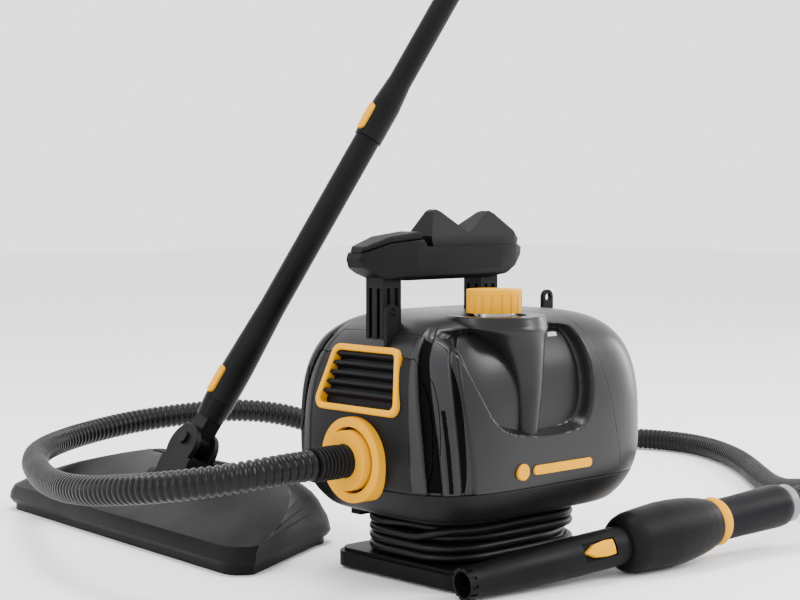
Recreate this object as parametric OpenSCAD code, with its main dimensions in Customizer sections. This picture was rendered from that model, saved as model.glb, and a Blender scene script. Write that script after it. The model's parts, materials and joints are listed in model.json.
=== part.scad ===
// Portable canister steam cleaner with a steam gun, a hose, two wands and a floor head.
// Millimetres. The origin is the middle of the machine's footprint on the floor, +Z up.
// The hose outlet faces -X and the filler pocket faces -Y.

/* [Casing] */
// Half length of the casing at its widest
case_a = 140; // [130:1:150]
// Half width of the casing at its widest
case_b = 110; // [100:1:116]
// Thickness of the moulded walls
wall = 3; // [2:0.5:4]
// Height of the seam between the pan and the casing
seam_z = 88; // [86:1:92]
// Height of the underside of the pan
pan_z = 60; // [58:1:62]
// Height of the crown of the roof
roof_z = 234; // [232:1:236]

/* [Base] */
// Length of the base plate
base_l = 198; // [190:1:204]
// Width of the base plate
base_w = 160; // [150:1:162]
// Height of the top of the base plate
base_top = 19; // [18:1:20]

/* [Outlet and vent] */
// Height of the hose outlet's axis
outlet_z = 111; // [108:1:114]
// Outer diameter of the yellow outlet ring
outlet_d = 73; // [70:1:76]
// Width of the vent bezel
vent_w = 100; // [90:1:104]
// Height of the vent bezel
vent_h = 58; // [54:1:60]

/* [Handle] */
// Width of the hand grip across the machine
grip_w = 34; // [30:1:36]
// Height of the underside of the grip
grip_z = 262; // [258:1:264]

/* [Filler] */
// Diameter of the filler cap
cap_d = 48; // [46:1:50]

/* [Hose and cord] */
// Outer diameter of the corrugated hose
hose_d = 26; // [24:1:28]
// Diameter of the mains cord
cord_d = 8; // [7:0.5:8]
// Turns of cord in each layer of the winding
cord_turns = 5; // [4:1:5]

/* [Gun] */
// Length of the gun from tip to hose
gun_l = 392; // [388:1:396]
// Diameter of the gun's body
gun_body_d = 60; // [58:1:60]

/* [Floor head] */
// Length of the head's front edge
head_l = 452; // [440:1:456]
// Length of the head's back edge
head_back_l = 316; // [300:1:320]
// Depth of the head, front to back
head_depth = 169; // [160:1:170]
// Lean of the wand away from the head's front edge, in degrees
wand_pitch = 29.5; // [28:0.5:30]
// Diameter of the lower wand
wand_d = 27; // [26:1:28]
// Diameter of the upper wand
upper_wand_d = 24.6; // [24.4:0.2:26]
// Length of the lower wand, from its socket to the next one
wand_l = 312; // [306:1:318]
// Length of the upper wand with its spigot
upper_wand_l = 434; // [430:1:440]

/* [Hidden] */
$fn = 40;

black = [0.10, 0.10, 0.11];
dark = [0.16, 0.16, 0.17];
yellow = [0.96, 0.71, 0.10];
steel = [0.72, 0.73, 0.75];
brass = [0.80, 0.65, 0.35];
grey = [0.55, 0.56, 0.58];
clear = 0.3;

// Casing: squared ellipses stacked up the height
waist_z = 120;
pan_drop = 85;
plan_n = 4.5;
upper_p = 3.1;
upper_q = 4.5;
lower_n = 2.5;
ring_n = 44;
band_x = -122;
side_x = -96;
rear_x = 77;
rear_lean = 15.5;
seam_gap = 0.4;

// Gun
gun_tip = [-110, -98, 14.6];
gun_turn = -7.4;
gun_tilt = 4;
gun_way = [cos(gun_tilt) * cos(gun_turn), cos(gun_tilt) * sin(gun_turn), sin(gun_tilt)];
gun_tail = gun_tip + gun_l * gun_way;
body_s = 0.575 * gun_l;

// Route of the hose, from the outlet's relief to the gun's end ring
hose_r = hose_d / 2;
hose_start = [-188, 0, outlet_z];
HOSE = [
    hose_start, [-215.2, 3.4, 110], [-240.8, 13.2, 107], [-263.2, 29, 103], [-281.2, 49.9, 99],
    [-293.5, 74.4, 95], [-299.5, 101, 91], [-302, 129, 87], [-302, 158, 83], [-298, 187, 80],
    [-291, 217, 77], [-271, 272, 72], [-250, 322, 69], [-226, 373, 67], [-198, 426, 66],
    [-162, 478, 66], [-114, 522, 67], [-56, 547, 71], [6, 550, 77], [62, 534, 82], [112, 508, 85],
    [158, 482, 80], [206, 460, 65], [258, 443, 44], [316, 431, 25], [380, 424, 15], [450, 422, 14],
    [495, 424, 14], [540, 425, 14], [585, 421, 14], [628, 404, 14], [662, 373, 14], [682, 331, 14],
    [685, 284, 14], [672, 239, 14], [648, 196, 14], [616, 152, 14], [576, 107, 14], [530, 60, 14],
    [486, 14, 15], [444, -32, 20], [411, -71, 28], [377.9, -109.5, 36.5], [357.4, -128.4, 40.3],
    [332.7, -141.7, 42.5], [305.7, -148.5, 43.3], gun_tail
];

// Mains cord
cord_r = cord_d / 2;
spool_l = 148;
spool_w = 98;
spool_r = 28;
wind_z = base_top + 1;
wind_h = cord_turns * cord_d;
wind_t = 2 * cord_d;
lead_z = wind_z + wind_h - 7;
tail_z = wind_z + cord_r;
CORD_LEAD = [
    [-38, 73, lead_z], [-26, 72.6, lead_z], [-12, 70.6, lead_z], [2, 67, lead_z], [16, 63, lead_z]
];
CORD_TAIL = [
    [2, 63, tail_z], [16, 66, tail_z], [32, 72, tail_z], [50, 81, 23.5], [70, 93, 17],
    [88, 104, 9], [106, 115, 4.8], [124, 125, 4.4], [142, 132, 5.5], [156, 137, 8.5], [166, 141, 10.5]
];
plug_turn = 21;

// Floor head
head_at = [-198, 97, 0];
head_turn = -4;
wand_roll = 9.5;
head_mid = head_l / 2;
pivot = [82, head_mid, 47];
pin_r = 4;
pin_gap = 0.05;
roll_h = 44;
yoke_w = 52;
sleeve_at = 48;
sleeve_l = 40;
sleeve_r = 16;
upper_sleeve_r = 15;
socket_l = 37;
spigot_r = 11;
spigot_l = 36;
wand_bore = 9;
button_at = 19;

// Filler
cap_at = [-36, -62, 234.5];
cap_h = 20;
neck_r = 18;
neck_bore = 14;
neck_top = 242;
pocket_in = 14;

// Handle posts
post_x0 = -119;
post_x1 = 0;
post_l = 21;

// Squared circle of half sizes a and b at height z
function sq_ring(a, b, z, n = plan_n, k = ring_n) = [
    for (i = [0:k - 1]) let (t = 360 * (i + 0.5) / k) [
        a * sign(cos(t)) * pow(abs(cos(t)), 2 / n),
        b * sign(sin(t)) * pow(abs(sin(t)), 2 / n),
        z
    ]
];

// Share of the full plan size that the casing has at height z
function girth(z, top = roof_z) = z > waist_z
    ? pow(max(0, 1 - pow((z - waist_z) / (top - waist_z), upper_p)), 1 / upper_q)
    : pow(max(0, 1 - pow((waist_z - z) / pan_drop, lower_n)), 1 / lower_n);

// Solid through a list of rings, each with the same number of points
module loft(rings) {
    n = len(rings[0]);
    m = len(rings);
    polyhedron(
        points = [for (r = rings) each r],
        faces = concat(
            [[for (i = [0:n - 1]) i]],
            [
                for (j = [0:m - 2]) for (i = [0:n - 1])
                    [j * n + i, (j + 1) * n + i, (j + 1) * n + (i + 1) % n, j * n + (i + 1) % n]
            ],
            [[for (i = [n - 1:-1:0]) (m - 1) * n + i]]
        )
    );
}

// Heights of the rings between z0 and the crown, closer together near the crown
function heights(z0, top) = concat(
    [for (i = [0:2]) z0 + (waist_z - z0) * i / 3],
    [for (s = [0:12:84]) waist_z + (top - waist_z) * pow(sin(s), 2 / upper_p)]
);

// The casing's solid, drawn in by the distance in
module casing_solid(in = 0, z0 = seam_z) {
    top = roof_z - in;
    loft([for (z = heights(z0, top)) sq_ring(case_a * girth(z, top) - in, case_b * girth(z, top) - in, z)]);
}

// The pan's solid, drawn in by the distance in
module pan_solid(in = 0, z1 = seam_z - seam_gap) {
    loft([
        for (i = [0:4]) let (z = pan_z + in + (z1 - pan_z - in) * i / 4)
            sq_ring(case_a * girth(z) - in, case_b * girth(z) - in, z)
    ]);
}

// Flat rounded rectangle, exact
module rounded(l, w, r) {
    square([l - 2 * r, w], center = true);
    square([l, w - 2 * r], center = true);
    for (x = [-1, 1]) for (y = [-1, 1])
        translate([x * (l / 2 - r), y * (w / 2 - r)]) circle(r);
}

module slab(l, w, r, h) {
    linear_extrude(h) rounded(l, w, r);
}

// Ring around the X axis, starting at x = 0
module ring_x(r_out, r_in, l) {
    rotate([0, 90, 0]) difference() {
        cylinder(r = r_out, h = l);
        translate([0, 0, -1]) cylinder(r = r_in, h = l + 2);
    }
}

// Tube swept along a route of points
function unit(v) = v / norm(v);
function heading(p, i) = unit(p[min(i + 1, len(p) - 1)] - p[max(i - 1, 0)]);
function side_of(d) = unit(cross(d, [0, 0, 1]));
function sweep_ring(p, i, r, k) = let (d = heading(p, i), s = side_of(d), u = cross(s, d))
    [for (j = [0:k - 1]) p[i] + r * (cos(360 * j / k) * s - sin(360 * j / k) * u)];

module sweep(p, r, k = 10) {
    loft([for (i = [0:len(p) - 1]) sweep_ring(p, i, r, k)]);
}

// Half spaces that split the casing along X
module beyond_rear(grow = 0) {
    translate([rear_x + grow, 0, 110]) rotate([0, -rear_lean, 0])
        translate([0, -200, -200]) cube([400, 400, 400]);
}

module between(x0, x1) {
    translate([x0, -200, 0]) cube([x1 - x0, 400, 400]);
}

// Outline of the filler pocket, seen from the side
POCKET = [
    [-118, 222], [-108, 202], [-98, 176], [-84, 148], [-66, 136], [-28, 131], [20, 133],
    [34, 142], [41, 165], [42, 191], [38, 214], [32, 222]
];

module pocket_prism(grow = 0) {
    translate([0, -50, 0]) rotate([90, 0, 0]) linear_extrude(90) offset(r = grow) polygon(POCKET);
}

// Outer shape of the casing with the pocket taken out
module casing_outside() {
    difference() {
        casing_solid();
        difference() {
            pocket_prism();
            casing_solid(pocket_in, seam_z - 1);
        }
    }
}

// Room inside the casing's walls
module casing_room() {
    difference() {
        casing_solid(wall, seam_z - 1);
        difference() {
            pocket_prism(wall);
            casing_solid(pocket_in + wall, seam_z - 2);
        }
    }
}

module neck_hole(grow = 0.4) {
    translate([cap_at[0], cap_at[1], 180]) cylinder(r = neck_r + grow, h = 80);
}

// Vent outline, lying on the leaning front face; its X is up the face
vent_z = 179;
vent_frame = 5.5;
vent_lean = 15;
vent_corner = 10;
module at_vent() {
    translate([-134, 0, vent_z]) rotate([0, vent_lean - 90, 0]) children();
}
module vent_outline(in = 0) {
    hull() for (s = [-1, 1]) {
        translate([vent_h / 2 - vent_corner, s * (vent_w / 2 - 7 - vent_corner)]) circle(vent_corner - in);
        translate([vent_corner - vent_h / 2, s * (vent_w / 2 + 2 - vent_corner)]) circle(vent_corner - in);
    }
}

// Main machine ---------------------------------------------------------------

mat_h = 3;
screw_well_r = 5;
screw_x = 50;
screw_y = 28;

module corners(x, y) {
    for (i = [-1, 1]) for (j = [-1, 1]) translate([i * x, j * y, 0]) children();
}

module base_plate() {
    color(black) difference() {
        union() {
            translate([0, 0, mat_h]) slab(base_l, base_w, 18, base_top - mat_h - 3);
            translate([0, 0, base_top - 3]) slab(base_l - 8, base_w - 8, 14, 3);
        }
        corners(screw_x, screw_y) {
            translate([0, 0, mat_h - 1]) cylinder(r = screw_well_r, h = 6);
            cylinder(r = 2.2, h = 30);
        }
    }
}

module rubber_mat() {
    color(dark) difference() {
        slab(base_l - 22, base_w - 20, 12, mat_h);
        corners(screw_x, screw_y) translate([0, 0, -1]) cylinder(r = screw_well_r, h = mat_h + 2);
    }
}

module cord_spool() {
    color(black) difference() {
        union() {
            difference() {
                translate([0, 0, base_top]) slab(spool_l, spool_w, spool_r, pan_z - base_top);
                translate([0, 0, base_top + wall])
                    slab(spool_l - 2 * wall, spool_w - 2 * wall, spool_r - wall, pan_z);
            }
            corners(screw_x, screw_y) translate([0, 0, base_top]) cylinder(r = 5, h = 16);
        }
        corners(screw_x, screw_y) translate([0, 0, base_top - 1]) cylinder(r = 1.9, h = 15);
    }
}

module base_screws() {
    color(steel) corners(screw_x, screw_y) {
        translate([0, 0, 5]) cylinder(r = 4, h = 3);
        translate([0, 0, 7.9]) cylinder(r = 1.8, h = 24);
    }
}

module lower_pan() {
    color(black) difference() {
        pan_solid();
        pan_solid(wall, seam_z + 1);
        translate([60, 0, pan_z - 1]) cylinder(r = 10, h = 10);
        translate([-138, 0, outlet_z]) rotate([0, 90, 0]) cylinder(r = 25, h = 20);
    }
}

module front_cover() {
    color(black) difference() {
        intersection() {
            casing_outside();
            between(-200, band_x - seam_gap);
        }
        casing_room();
        at_vent() translate([0, 0, -20]) linear_extrude(40) vent_outline(-0.3);
        translate([-160, 0, outlet_z]) rotate([0, 90, 0]) cylinder(r = 25, h = 50);
    }
}

module flute_band() {
    color(black) difference() {
        intersection() {
            casing_outside();
            between(band_x, side_x - seam_gap);
        }
        casing_room();
        at_vent() translate([0, 0, -20]) linear_extrude(40) vent_outline(-0.3);
    }
}

module side_half(y0) {
    difference() {
        intersection() {
            casing_outside();
            translate([side_x, y0, 0]) cube([300, 200, 300]);
        }
        casing_room();
        beyond_rear(-seam_gap);
        neck_hole();
    }
}

module filler_side_shell() {
    color(black) side_half(-200);
}

module back_side_shell() {
    color(black) side_half(seam_gap);
}

module rear_cover() {
    color(black) difference() {
        intersection() {
            casing_outside();
            beyond_rear();
        }
        casing_room();
    }
}

// Spout round the filler neck: circles that draw in and out to the pocket's lip
FUNNEL = [
    [-31, -94, 131, 11], [-29, -92.5, 150, 12.5], [-27, -90, 172, 15], [-28, -87, 190, 19],
    [-30, -83, 203, 24], [-33, -77, 213, 31], [-36, -70, 221, 40], [-36, -66, 225, 43], [-36, -64, 232, 43]
];
module filler_funnel() {
    color(dark) difference() {
        loft([
            for (f = FUNNEL)
                [for (i = [0:31]) [f[0] + f[3] * cos(i * 11.25), f[1] + f[3] * sin(i * 11.25), f[2]]]
        ]);
        casing_outside();
        neck_hole(0.6);
        translate([cap_at[0], cap_at[1], 229]) cylinder(r = cap_d / 2 + 3, h = 10);
    }
}

boiler_at = [0, -15, 140];
boiler_r = 58;
module boiler_profile(in = 0) {
    polygon([
        [0, in - 80], [40 - in / 2, in - 80], [boiler_r - in, in - 62],
        [boiler_r - in, 62 - in], [40 - in / 2, 80 - in], [0, 80 - in]
    ]);
}
module boiler_solid(in = 0) {
    translate(boiler_at) rotate([0, 90, 0]) rotate_extrude() boiler_profile(in);
}

module boiler() {
    color(steel) difference() {
        boiler_solid();
        boiler_solid(2);
        translate([cap_at[0], cap_at[1], 150]) cylinder(r = neck_bore, h = 60);
    }
}

module filler_neck() {
    color(steel) difference() {
        translate([cap_at[0], cap_at[1], 160]) cylinder(r = neck_r, h = neck_top - 160);
        translate([cap_at[0], cap_at[1], 150]) cylinder(r = neck_bore, h = 100);
        boiler_solid();
    }
}

element_z = 81;
element_y = 25;
module element_tube(r) {
    for (s = [-1, 1]) translate([-60, boiler_at[1] + s * element_y, element_z])
        rotate([0, 90, 0]) cylinder(r = r, h = 110);
    translate([50, boiler_at[1], element_z]) rotate([0, 0, -90])
        rotate_extrude(angle = 180) translate([element_y, 0]) circle(r);
}

module heating_element() {
    color(steel) element_tube(4);
}

module boiler_bracket() {
    color(grey) difference() {
        for (x = [-44, 44]) translate([x - 4, boiler_at[1] - 40, pan_z + wall]) cube([8, 80, 40]);
        boiler_solid();
        element_tube(4.3);
    }
}

module thermostat() {
    color(black) translate([80, boiler_at[1], 150]) rotate([0, 90, 0]) {
        cylinder(r = 10, h = 6);
        cylinder(r = 6, h = 12);
    }
}

valve_at = [40, -15, 198];
module steam_valve() {
    color(brass) translate(valve_at) {
        cylinder(r = 8, h = 10);
        translate([-12, -11, 10]) cube([24, 22, 17]);
    }
}

PIPE = [
    [28, -15, 215], [10, -15, 214], [-20, -15, 210], [-60, -14, 206], [-88, -12, 200],
    [-102, -8, 186], [-107, -3, 165], [-108, 0, 145], [-112, 0, 124], [-122, 0, 114],
    [-134, 0, outlet_z], [-146, 0, outlet_z]
];
module steam_pipe() {
    color(brass) sweep(PIPE, 4, 8);
}

module terminal_block() {
    color(grey) translate([54, 44, pan_z + wall]) cube([30, 16, 14]);
}

module vent_bezel() {
    color(yellow) at_vent() difference() {
        translate([0, 0, -8]) linear_extrude(11) vent_outline();
        translate([0, 0, -9]) linear_extrude(20) vent_outline(vent_frame);
    }
}

module vent_louvres() {
    color(dark) at_vent() {
        translate([0, 0, -8]) linear_extrude(2) vent_outline(vent_frame + clear);
        intersection() {
            translate([0, 0, -6.1]) linear_extrude(8) vent_outline(vent_frame + clear);
            for (i = [-2:2]) translate([i * 8.4, -60, -7]) rotate([0, 20, 0]) cube([3, 120, 9]);
        }
    }
}

// Places along X of the outlet's parts
ring_face = -147.5;
collar_face = -154;
collar_seat = -141;
module outlet_ring() {
    color(yellow) difference() {
        translate([ring_face, 0, outlet_z]) ring_x(outlet_d / 2, 28.5, 30);
        casing_solid();
        pan_solid(-0.1);
        pan_solid(0, seam_z);
    }
}

module outlet_collar() {
    color(yellow) {
        translate([collar_face, 0, outlet_z]) ring_x(25.6, 14.4, collar_seat - collar_face);
        translate([collar_seat - 0.1, 0, outlet_z]) ring_x(24.6, 14.4, 16);
    }
}

module hose_relief() {
    color(dark) translate([-188, 0, outlet_z]) {
        ring_x(12.8, 5, 48);
        for (i = [0:6]) translate([i * 4, 0, 0]) ring_x(14.6, 5, 2.2);
        translate([29, 0, 0]) ring_x(14.3, 5, 20);
    }
}

// Side outline of the hand grip
GRIP = [
    [-144, 281], [-141, 286], [-112, 294], [-76, 297], [-72, 291], [46, 291], [52, 288],
    [50, 281], [40, 272], [27, 265], [6, grip_z], [-94, grip_z], [-116, grip_z + 2],
    [-128, 268], [-140, 274]
];
// Plan of the hand grip: half widths along it
GRIP_HALF = [[-144, 8], [-136, 12], [-112, 15], [-84, 17], [20, 17], [40, 15], [52, 11]];
module grip_plan(in = 0) {
    translate([0, 0, 250]) linear_extrude(90) polygon(concat(
        [for (g = GRIP_HALF) [g[0], g[1] - in]],
        [for (i = [len(GRIP_HALF) - 1:-1:0]) [GRIP_HALF[i][0], in - GRIP_HALF[i][1]]]
    ));
}
module along_y(w) {
    translate([0, w / 2, 0]) rotate([90, 0, 0]) linear_extrude(w) children();
}

module handle_post(x) {
    difference() {
        translate([x, -11, 200]) cube([post_l, 22, grip_z + 8 - 200]);
        casing_solid();
        for (dx = [4, 13]) for (y = [-12, 9]) translate([x + dx, y, 190]) cube([4, 3, 66]);
        for (y = [-7, 3]) translate([x - 1, y, 190]) cube([4, 4, 66]);
    }
}

module handle_frame() {
    color(black) {
        intersection() {
            along_y(grip_w) polygon(GRIP);
            grip_plan();
            translate([-200, 0, grip_z + 20]) rotate([90, 0, 90]) linear_extrude(300)
                rounded(grip_w, 44, 11);
        }
        handle_post(post_x0);
        handle_post(post_x1);
    }
}

// Side outline of the cradle that the gun rests in
CRADLE = [
    [-64, 291], [-66, 300], [-54, 321], [-50, 323], [-45, 321], [-23, 305], [-19, 303.5], [-14, 305],
    [11, 320], [16, 321.5], [21, 319], [48, 296], [46, 291]
];
module gun_cradle() {
    color(black) intersection() {
        along_y(grip_w) polygon(CRADLE);
        grip_plan(1.5);
        translate([-100, 0, 0]) rotate([90, 0, 90]) linear_extrude(200)
            polygon([[-16, 290], [-16, 299], [-3.5, 325], [3.5, 325], [16, 299], [16, 290]]);
    }
}

module grip_pad() {
    color(dark) intersection() {
        along_y(26) polygon([
            [-141, 286.2], [-138, 291.8], [-112, 300], [-78, 304], [-73, 302], [-74, 297.4], [-112, 294.2]
        ]);
        grip_plan(2.5);
    }
}

EYES = [[-118, -20, 236], [99.5, 0, 240]];
eye_r = 3.5;
eye_out_r = 7;
eye_t = 4;
module strap_eyes() {
    color(black) for (e = EYES) difference() {
        translate(e) {
            translate([-eye_out_r, -eye_t / 2, -35]) cube([2 * eye_out_r, eye_t, 35]);
            translate([0, eye_t / 2, 0]) rotate([90, 0, 0]) cylinder(r = eye_out_r, h = eye_t);
        }
        translate(e + [0, eye_t, 0]) rotate([90, 0, 0]) cylinder(r = eye_r, h = 2 * eye_t);
        casing_solid();
        at_vent() translate([0, 0, -20]) linear_extrude(40) vent_outline(-clear);
    }
}

module indicator_lens() {
    color([0.9, 0.9, 0.85]) difference() {
        translate([18, -70, 213]) rotate([90, 0, 0]) linear_extrude(10.5) rounded(12, 6, 2.9);
        casing_outside();
    }
}

module badge_plate() {
    color(yellow) difference() {
        union() {
            translate([0, -60, 103]) rotate([90, 0, 0]) linear_extrude(51) rounded(74, 8, 3.9);
            translate([-50, -60, 103]) rotate([90, 0, 0]) cylinder(r = 7, h = 51);
        }
        casing_outside();
    }
}

// Cap and its seal -----------------------------------------------------------

module cap_seal() {
    color(dark) translate([cap_at[0], cap_at[1], 0]) {
        translate([0, 0, 222]) cylinder(r = neck_bore - 0.5, h = neck_top - 222 + 0.2);
        translate([0, 0, neck_top + 0.1]) cylinder(r = neck_r - 1, h = 3.4);
        translate([0, 0, neck_top + 3]) cylinder(r = 5, h = 2.6);
    }
}

module filler_cap() {
    color(yellow) translate(cap_at) difference() {
        cylinder(r = cap_d / 2, h = cap_h);
        translate([0, 0, -1]) cylinder(r = neck_r + 0.5, h = 14.5);
        for (i = [0:17]) rotate([0, 0, i * 20]) translate([cap_d / 2 + 0.6, 0, -1]) cylinder(r = 1.6, h = 17);
    }
}

// Mains cord -----------------------------------------------------------------

module cord_gland() {
    color(black) {
        difference() {
            translate([-76, 66.6, lead_z - 7]) cube([16, 13, pan_z - lead_z + 7]);
            pan_solid();
        }
        translate([-60.1, 73, lead_z]) rotate([0, 90, 0]) cylinder(r1 = 6, r2 = 4.6, h = 22.1);
    }
}

module cord_lead() {
    color(dark) sweep(CORD_LEAD, cord_r, 8);
}

module cord_tail() {
    color(dark) sweep(CORD_TAIL, cord_r, 8);
}

module cord_winding() {
    color(dark) translate([0, 0, wind_z]) linear_extrude(wind_h) difference() {
        rounded(spool_l + 2 + 2 * wind_t, spool_w + 2 + 2 * wind_t, spool_r + wind_t);
        rounded(spool_l + 1, spool_w + 1, spool_r);
    }
}

module mains_plug() {
    color(dark) translate([166, 141, 10.5]) rotate([0, 0, plug_turn]) {
        rotate([0, 90, 0]) cylinder(r1 = 5, r2 = 8, h = 16.1);
        translate([31, 0, -10]) slab(30, 27, 8, 20);
        for (y = [-6.3, 6.3]) translate([45, y - 0.8, -3.2]) cube([18, 1.6, 6.4]);
    }
}

module steam_hose() {
    color(black) sweep(HOSE, hose_r, 10);
}

// Steam gun; its own X runs from the tip to the tail ---------------------------

module at_gun() {
    translate(gun_tip) rotate([0, -gun_tilt, gun_turn]) children();
}

// Solid of revolution about X from a list of [place, radius]
module turned(list) {
    rotate([0, 90, 0]) rotate([0, 0, 90]) rotate_extrude()
        polygon(concat([[0, list[0][0]]], [for (p = list) [p[1], p[0]]], [[0, list[len(list) - 1][0]]]));
}

body_r = gun_body_d / 2;
barrel_r = 17.4;
body_x0 = 175;
body_x1 = 285.7;
gun_bore = 4.6;
ring_x0 = 286;
grip_x0 = 299.4;
grip_x1 = 382.8;
NOZZLE = [[8.1, 13.6], [30, 14.6], [60, 16], [90, 17], [120, barrel_r], [189, barrel_r]];
GUN_BODY = [
    [body_x0, 20.5], [177, 23.4], [181, 25.6], [188, 27.5], [198, 28.3], [210, 29.1], [body_s, body_r],
    [240, 29.6], [253, 28.6], [265, 27], [276, 24.8], [body_x1, 21.8]
];
trigger_at = [274, 19.5, 0];
latch_x = 121;
latch_l = 33;
latch_roll = 70;

module gun_hole(x0, r, l) {
    translate([x0, 0, 0]) rotate([0, 90, 0]) cylinder(r = r, h = l);
}

module gun_tip_ring() {
    color(black) at_gun() difference() {
        ring_x(14.2, spigot_r + 0.1, 8);
        for (i = [0:11]) rotate([i * 30, 0, 0]) translate([-1, -1.3, 12.8]) cube([7, 2.6, 3]);
    }
}

module gun_nozzle() {
    color(black) at_gun() difference() {
        turned(NOZZLE);
        gun_hole(0, gun_bore, 200);
        gun_hole(0, spigot_r + 0.1, socket_l);
        rotate([latch_roll, 0, 0]) translate([latch_x - 0.5, -8, 13.5]) cube([latch_l + 4, 16, 10]);
    }
}

module gun_body_half() {
    difference() {
        union() {
            difference() {
                turned(GUN_BODY);
                turned([for (p = GUN_BODY) [p[0] + (p[0] < body_s ? 2.5 : 1.2), p[1] - 2.5]]);
            }
            intersection() {
                turned(GUN_BODY);
                for (z = [-9, 6]) translate([268, 12.5, z]) cube([12, 12, 3]);
            }
        }
        gun_hole(body_x0 - 1, barrel_r + 0.3, 16);
        translate([204, 10, -5.4]) cube([82, 30, 10.8]);
        translate(trigger_at - [0, 0, 9]) cylinder(r = 2.5 + pin_gap, h = 18);
    }
}

module gun_body_left() {
    color(black) at_gun() intersection() {
        gun_body_half();
        translate([0, 0.15, -50]) cube([400, 60, 100]);
    }
}

module gun_body_right() {
    color(black) at_gun() intersection() {
        gun_body_half();
        translate([0, -60.15, -50]) cube([400, 60, 100]);
    }
}

module gun_ring() {
    color(yellow) at_gun() difference() {
        turned([[ring_x0, 20.6], [289, 22.2], [294, 22.6], [grip_x0 - 0.3, 19.6]]);
        gun_hole(ring_x0 - 10, barrel_r + 0.1, 40);
    }
}

module gun_grip() {
    color(dark) at_gun() difference() {
        turned([
            [ring_x0 + 0.2, barrel_r], [grip_x0 - 0.1, barrel_r], [grip_x0, 19.4], [320, 19.4],
            [350, 20], [372, 20.4], [379, 19.8], [grip_x1, 18]
        ]);
        gun_hole(ring_x0 - 10, gun_bore, 120);
    }
}

module gun_end_ring() {
    color(grey) at_gun() translate([grip_x1 + 0.2, 0, 0]) ring_x(18, gun_bore, gun_l - grip_x1 - 0.2);
}

module gun_steam_tube() {
    color(brass) at_gun() translate([40, 0, 0]) ring_x(4.5, 3, 338);
}

module gun_switch() {
    color(black) at_gun() translate([219, 6, -6]) cube([20, 9, 12]);
}

module gun_trigger() {
    color(yellow) at_gun() {
        translate([0, 0, -5]) linear_extrude(10) polygon([
            [277, 17.5], [278, 24], [267, 28.5], [252, 32.5], [227, 37], [212, 36.5], [208, 32.5],
            [227, 27.5], [252, 22.5]
        ]);
        translate(trigger_at - [0, 0, 8.5]) cylinder(r = 2.5, h = 17);
    }
}

module gun_latch() {
    color(yellow) at_gun() rotate([latch_roll, 0, 0]) intersection() {
        translate([0, 0, 13.8]) linear_extrude(8) polygon([
            [latch_x, 0], [latch_x + 11, -5.5], [latch_x + 24, -7], [latch_x + latch_l, -6.5],
            [latch_x + latch_l, 6.5], [latch_x + 24, 7], [latch_x + 11, 5.5]
        ]);
        gun_hole(0, 19.4, 200);
    }
}

// Floor head; its own X runs from the front edge to the back ------------------

module at_head() {
    translate(head_at) rotate([0, 0, head_turn]) children();
}

// Rounded trapezoid: front and back places, half lengths there, corner radius
function head_ring(f, b, hf, hb, r, z) = [
    for (c = [[b, hb, 0, 1, 1], [f, hf, 90, -1, 1], [f, hf, 180, -1, -1], [b, hb, 270, 1, -1]])
        for (a = [0:22.5:90]) [
            c[0] - c[3] * r + r * cos(c[2] + a),
            head_mid + c[4] * (c[1] - r) + r * sin(c[2] + a),
            z
        ]
];

// Heights and outlines of the cover: front, back, half lengths, corner, height
half_l = head_l / 2;
back_half_l = head_back_l / 2;
HEAD = [
    [3, head_depth - 3, half_l - 3, back_half_l - 3, 22, 8],
    [0, head_depth, half_l, back_half_l, 24, 13],
    [1, head_depth - 1, half_l - 1, back_half_l - 1, 24, 20],
    [4, head_depth - 2, half_l - 2, back_half_l - 2, 25, 26],
    [16, head_depth - 4, half_l - 8, back_half_l - 4, 28, 32.5],
    [34, head_depth - 6, half_l - 19, back_half_l - 7, 30, 40],
    [54, head_depth - 10, half_l - 36, back_half_l - 12, 30, 47.5],
    [74, head_depth - 16, half_l - 58, back_half_l - 20, 28, 54],
    [92, head_depth - 24, half_l - 80, back_half_l - 28, 22, 59.5],
    [104, head_depth - 31, half_l - 98, back_half_l - 36, 15, 63],
    [110, head_depth - 37, half_l - 108, back_half_l - 44, 10, 65]
];
module head_shape(in = 0) {
    loft([for (h = HEAD) head_ring(h[0] + in, h[1] - in, h[2] - in, h[3] - in, h[4] - in / 2, h[5] - in)]);
}

// Room in which the yoke swings
module yoke_room() {
    translate(pivot + [0, yoke_w / 2 + 0.6, 0]) rotate([90, 0, 0]) linear_extrude(yoke_w + 1.2) {
        circle(15.6);
        polygon([[-16.5, -3], [-16.5, 90], [110, 90], [110, 78], [12, -12.5]]);
    }
}

gripper_x = head_depth - 48;
gripper_y = 92;
module gripper_outline(grow = 0) {
    for (s = [-1, 1]) translate([gripper_x, head_mid + s * gripper_y]) {
        square([2 * (5.5 + grow), 20], center = true);
        for (e = [-1, 1]) translate([0, e * 10]) circle(5.5 + grow);
    }
}

module head_sole() {
    color(dark) at_head() difference() {
        loft([for (z = [0, 7.7]) head_ring(6, head_depth - 6, half_l - 6, back_half_l - 6, 20, z)]);
        for (i = [-3:3]) translate([80, head_mid + i * 44, -1]) cylinder(r = 2, h = 12);
        for (x = [40, 120]) translate([x, head_mid - 130, -1]) cube([12, 260, 3]);
    }
}

module head_lugs() {
    for (s = [-1, 1]) translate([pivot[0], head_mid + s * (yoke_w / 2 + 8.3), 0]) {
        translate([0, 7.5, pivot[2]]) rotate([90, 0, 0]) cylinder(r = 13, h = 15);
        translate([-12, -7.5, pivot[2] - 24]) cube([24, 15, 24]);
    }
}

module head_cover() {
    color(black) at_head() difference() {
        union() {
            difference() {
                head_shape();
                head_shape(wall);
            }
            head_lugs();
        }
        yoke_room();
        translate([0, 0, 63.4]) linear_extrude(20) gripper_outline(0.3);
        translate(pivot + [0, 43, 0]) rotate([90, 0, 0]) cylinder(r = pin_r + pin_gap, h = 86);
    }
}

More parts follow.
